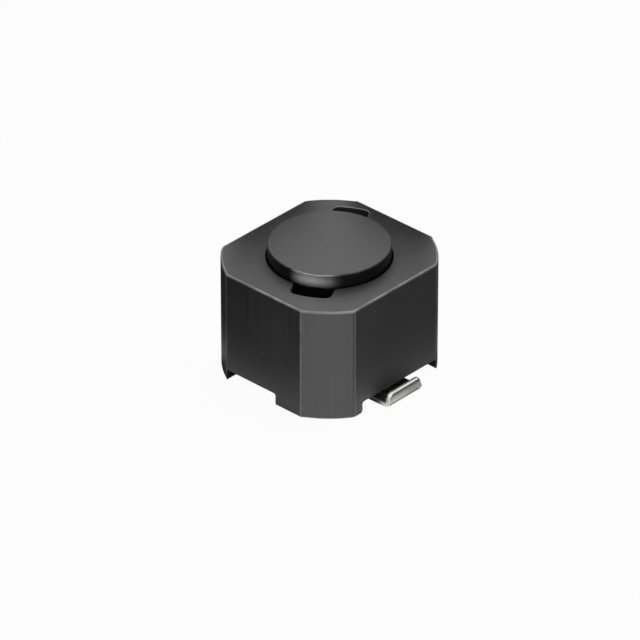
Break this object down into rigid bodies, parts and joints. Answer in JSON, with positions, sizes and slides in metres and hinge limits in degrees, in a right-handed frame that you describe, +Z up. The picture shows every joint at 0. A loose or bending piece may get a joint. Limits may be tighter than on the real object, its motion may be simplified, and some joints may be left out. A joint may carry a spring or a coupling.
{
  "type": "shielded surface-mount power inductor",
  "caption": "Shielded surface-mount power inductor: a ferrite drum core in a square ferrite ring with clipped corners, on two bent tinned terminals.",
  "frame": {"origin": "centre of the footprint, on the board plane that the feet and terminals stand on", "axes": "+X from the middle to one terminal, along the longest side; +Z up from the board, the shortest side"},
  "size_m": [0.0136, 0.0126, 0.009],
  "materials": {
    "ferrite": "satin, as sintered",
    "tinned_strip": "satin tin plate",
    "enamelled_wire": "clear enamel over copper",
    "base_moulding": "matt",
    "adhesive": "cured epoxy",
    "solder": "bright solder"
  },
  "bodies": {
    "root": {"terminal_base": "base_moulding", "terminal_right": "tinned_strip", "terminal_left": "tinned_strip", "drum_core": "ferrite", "coil_winding": "enamelled_wire", "solder_joint_right": "solder", "solder_joint_left": "solder", "shield_core": "ferrite", "core_adhesive_front": "adhesive", "core_adhesive_rear": "adhesive"}
  },
  "joints": []
}
